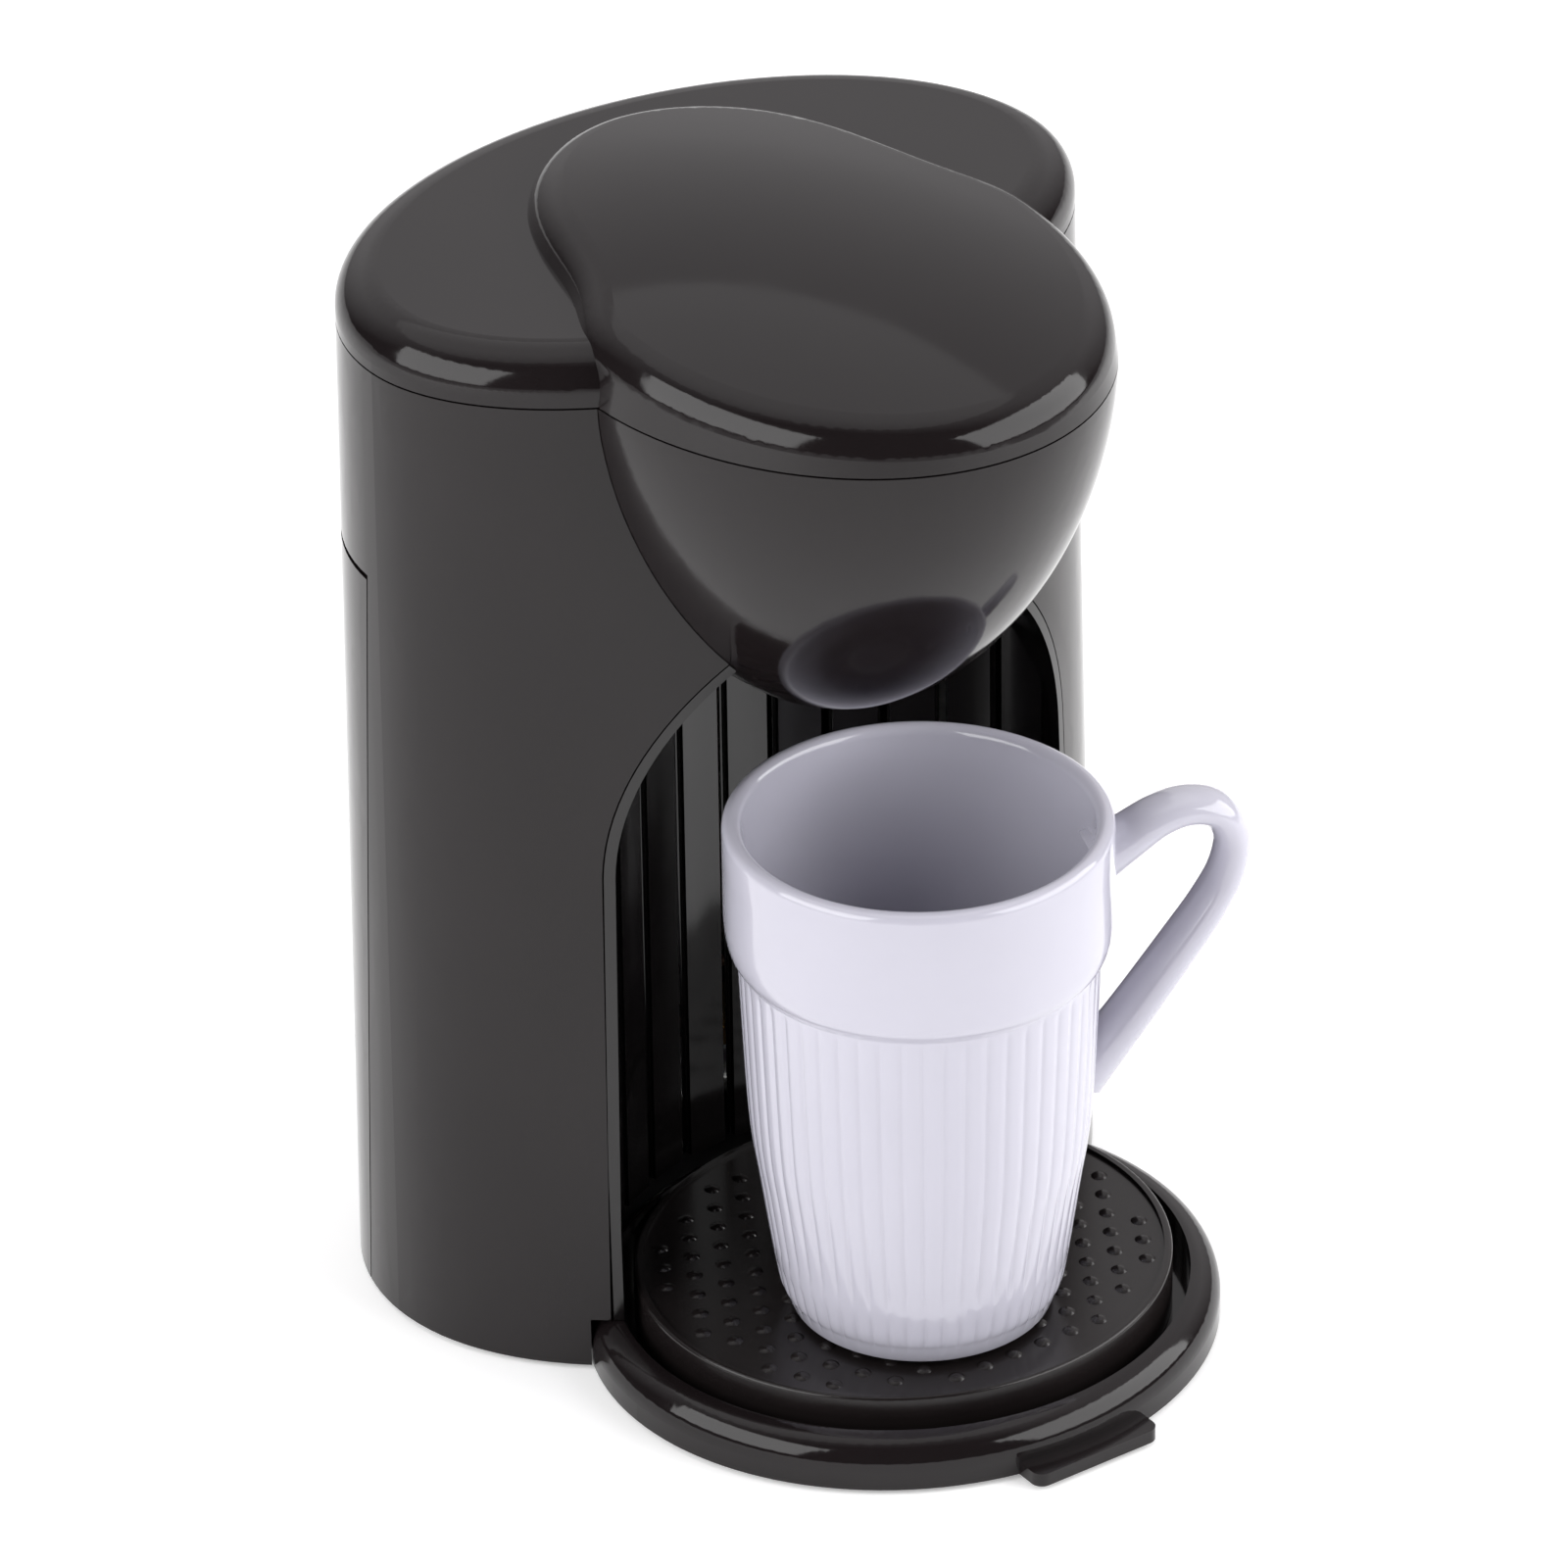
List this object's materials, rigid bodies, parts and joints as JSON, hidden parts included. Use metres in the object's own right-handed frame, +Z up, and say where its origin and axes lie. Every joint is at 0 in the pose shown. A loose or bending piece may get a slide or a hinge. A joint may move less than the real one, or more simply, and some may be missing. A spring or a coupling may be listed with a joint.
{
  "type": "drip coffee maker",
  "caption": "One-cup drip coffee maker: oval tower, overhanging bowl-shaped brew head under a hinged lid, lift-out dimpled drip tray, with a fluted mug.",
  "frame": {"origin": "on the table, under the middle of the machine's overall box", "axes": "+Z up, -Y the front with the cup, +X the user's right"},
  "size_m": [0.1704, 0.1984, 0.2465],
  "materials": {
    "black_gloss": "gloss",
    "bay_black": "satin gloss",
    "black_matte": "matte",
    "tray_black": "gloss",
    "foot_rubber": "matte",
    "silicone": "matte",
    "tank_plastic": "translucent satin",
    "inner_plastic": "matte",
    "heater_metal": "satin",
    "steel": "satin",
    "mesh_steel": "fine mesh",
    "brass_part": "satin",
    "wire_brown": "satin",
    "wire_blue": "satin",
    "porcelain": "gloss glaze"
  },
  "bodies": {
    "machine": {"tower_housing": "black_gloss", "rear_cover": "black_gloss", "bay_liner": "bay_black", "base_housing": "black_gloss", "bottom_plate": "black_matte", "rubber_feet": "foot_rubber", "top_deck": "black_matte", "brew_head": "black_gloss", "water_tank": "tank_plastic", "valve_seal": "silicone", "check_valve": "inner_plastic", "inlet_hose": "silicone", "heater_tube": "heater_metal", "heating_element": "steel", "heater_bracket": "steel", "riser_tube": "silicone", "riser_seal": "silicone", "hose_clamps": "steel", "thermostat": "brass_part", "thermal_fuse": "brass_part", "switch_bezel": "black_matte", "switch_body": "inner_plastic", "terminal_block": "inner_plastic", "cord_gland": "foot_rubber", "cord_clamp": "inner_plastic", "live_wire": "wire_brown", "neutral_wire": "wire_blue", "bottom_screws": "steel", "lid_hinge_pin": "steel"},
    "lid": {"lid_cover": "black_gloss", "lid_channel": "inner_plastic", "shower_plate": "black_matte"},
    "rocker": {"switch_rocker": "black_gloss"},
    "basket": {"filter_basket": "black_matte"},
    "filter": {"mesh_frame": "black_matte", "filter_mesh": "mesh_steel"},
    "tray": {"drip_tray": "tray_black"},
    "cup": {"mug": "porcelain"}
  },
  "joints": [
    {"name": "lid_hinge", "type": "hinge", "parent": "machine", "child": "lid", "pos_m": [0, 0.096, 0.2226], "axis": [-1, 0, 0], "range_deg": [0, 95]},
    {"name": "power_rocker", "type": "hinge", "parent": "machine", "child": "rocker", "pos_m": [0.0754, 0.028, 0.044], "axis": [0, 1, 0], "range_deg": [0, 18]},
    {"name": "basket_lift", "type": "slide", "parent": "machine", "child": "basket", "axis": [0, 0, 1], "range_m": [0, 0.06]},
    {"name": "filter_lift", "type": "slide", "parent": "basket", "child": "filter", "axis": [0, 0, 1], "range_m": [0, 0.045]},
    {"name": "tray_lift", "type": "slide", "parent": "machine", "child": "tray", "axis": [0, 0, 1], "range_m": [0, 0.008]},
    {"name": "mug_slide", "type": "slide", "parent": "tray", "child": "cup", "axis": [0, -1, 0], "range_m": [0, 0.2]}
  ],
  "couplings": [
    {"joint": "basket_lift", "follows": "lid_hinge", "m_per_rad": 0.035},
    {"joint": "filter_lift", "follows": "lid_hinge", "m_per_rad": 0.026}
  ]
}
